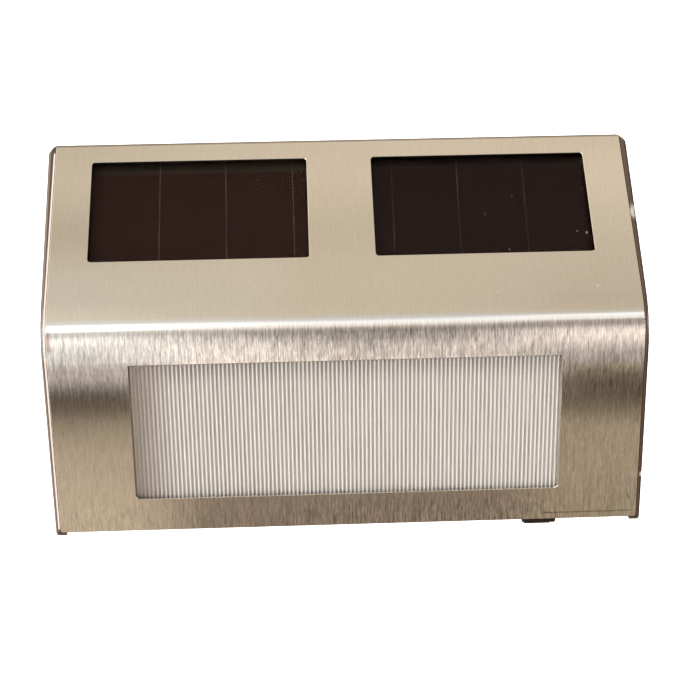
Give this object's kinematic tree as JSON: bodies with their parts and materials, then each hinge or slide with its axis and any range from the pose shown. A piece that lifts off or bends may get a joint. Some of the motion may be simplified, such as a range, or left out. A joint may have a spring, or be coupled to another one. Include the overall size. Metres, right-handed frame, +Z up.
{
  "type": "fence light",
  "caption": "Wall-hung solar fence light: folded brushed steel cover with solar panel windows and a ribbed lens, moulded housing with keyholes, battery bay and rocker switch.",
  "frame": {"origin": "on the flat back face that lies against the fence, midway between the end cheeks and 43.3 mm below the top edge of the steel cover", "axes": "+X to the right seen from the front, +Y into the fence, +Z up; the lens faces -Y"},
  "size_m": [0.143, 0.0396, 0.0911],
  "materials": {
    "steel": "brushed along the profile, satin",
    "housing_black": "semi-gloss moulded",
    "carrier_black": "fine moulded texture",
    "panel_glass": "polished",
    "cell_film": "smooth film",
    "lens_clear": "ribbed, slightly hazed",
    "white_plastic": "fine moulded texture",
    "seal_rubber": "matte solid rubber",
    "circuit_green": "solder mask",
    "chip_black": "matte",
    "copper": "enamelled wire",
    "nickel": "nickel plated",
    "zinc_screw": "zinc plated",
    "cell_wrap": "shrink sleeve",
    "lamp_clear": "water clear",
    "switch_black": "satin",
    "rocker_black": "semi-gloss",
    "lead_red": "PVC",
    "lead_black": "PVC"
  },
  "bodies": {
    "root": {"battery_cell": "cell_wrap", "battery_contact": "nickel", "battery_lead_black": "lead_black", "battery_lead_red": "lead_red", "battery_spring": "nickel", "control_board": "circuit_green", "control_board_screws": "zinc_screw", "control_capacitor": "chip_black", "control_chip": "chip_black", "control_inductor": "copper", "cover_tape": "seal_rubber", "front_cover": "steel", "housing_screws": "zinc_screw", "inner_carrier": "carrier_black", "lamp_board": "circuit_green", "lamp_board_screws": "zinc_screw", "lamp_lead_black": "lead_black", "lamp_lead_red": "lead_red", "lamp_leds": "lamp_clear", "lens": "lens_clear", "lens_gasket": "seal_rubber", "panel_cells_left": "cell_film", "panel_cells_right": "cell_film", "panel_gasket_left": "seal_rubber", "panel_gasket_right": "seal_rubber", "panel_glass_left": "panel_glass", "panel_glass_right": "panel_glass", "panel_leads_black": "lead_black", "panel_leads_red": "lead_red", "rear_housing": "housing_black", "reflector": "white_plastic", "reflector_screws": "zinc_screw", "switch_body": "switch_black", "switch_leads": "lead_red", "switch_terminals": "nickel"},
    "battery_door": {"battery_door": "housing_black", "battery_door_seal": "seal_rubber", "battery_door_screws": "zinc_screw"},
    "switch_rocker": {"switch_rocker": "rocker_black", "switch_contact": "copper"}
  },
  "joints": [
    {"name": "battery_door_lift", "type": "slide", "parent": "root", "child": "battery_door", "axis": [0, 1, 0], "range_m": [0, 0.02]},
    {"name": "switch_rock", "type": "hinge", "parent": "root", "child": "switch_rocker", "pos_m": [0.0467, -0.0301, -0.04455], "axis": [-1, 0, 0], "range_deg": [0, 16]}
  ]
}
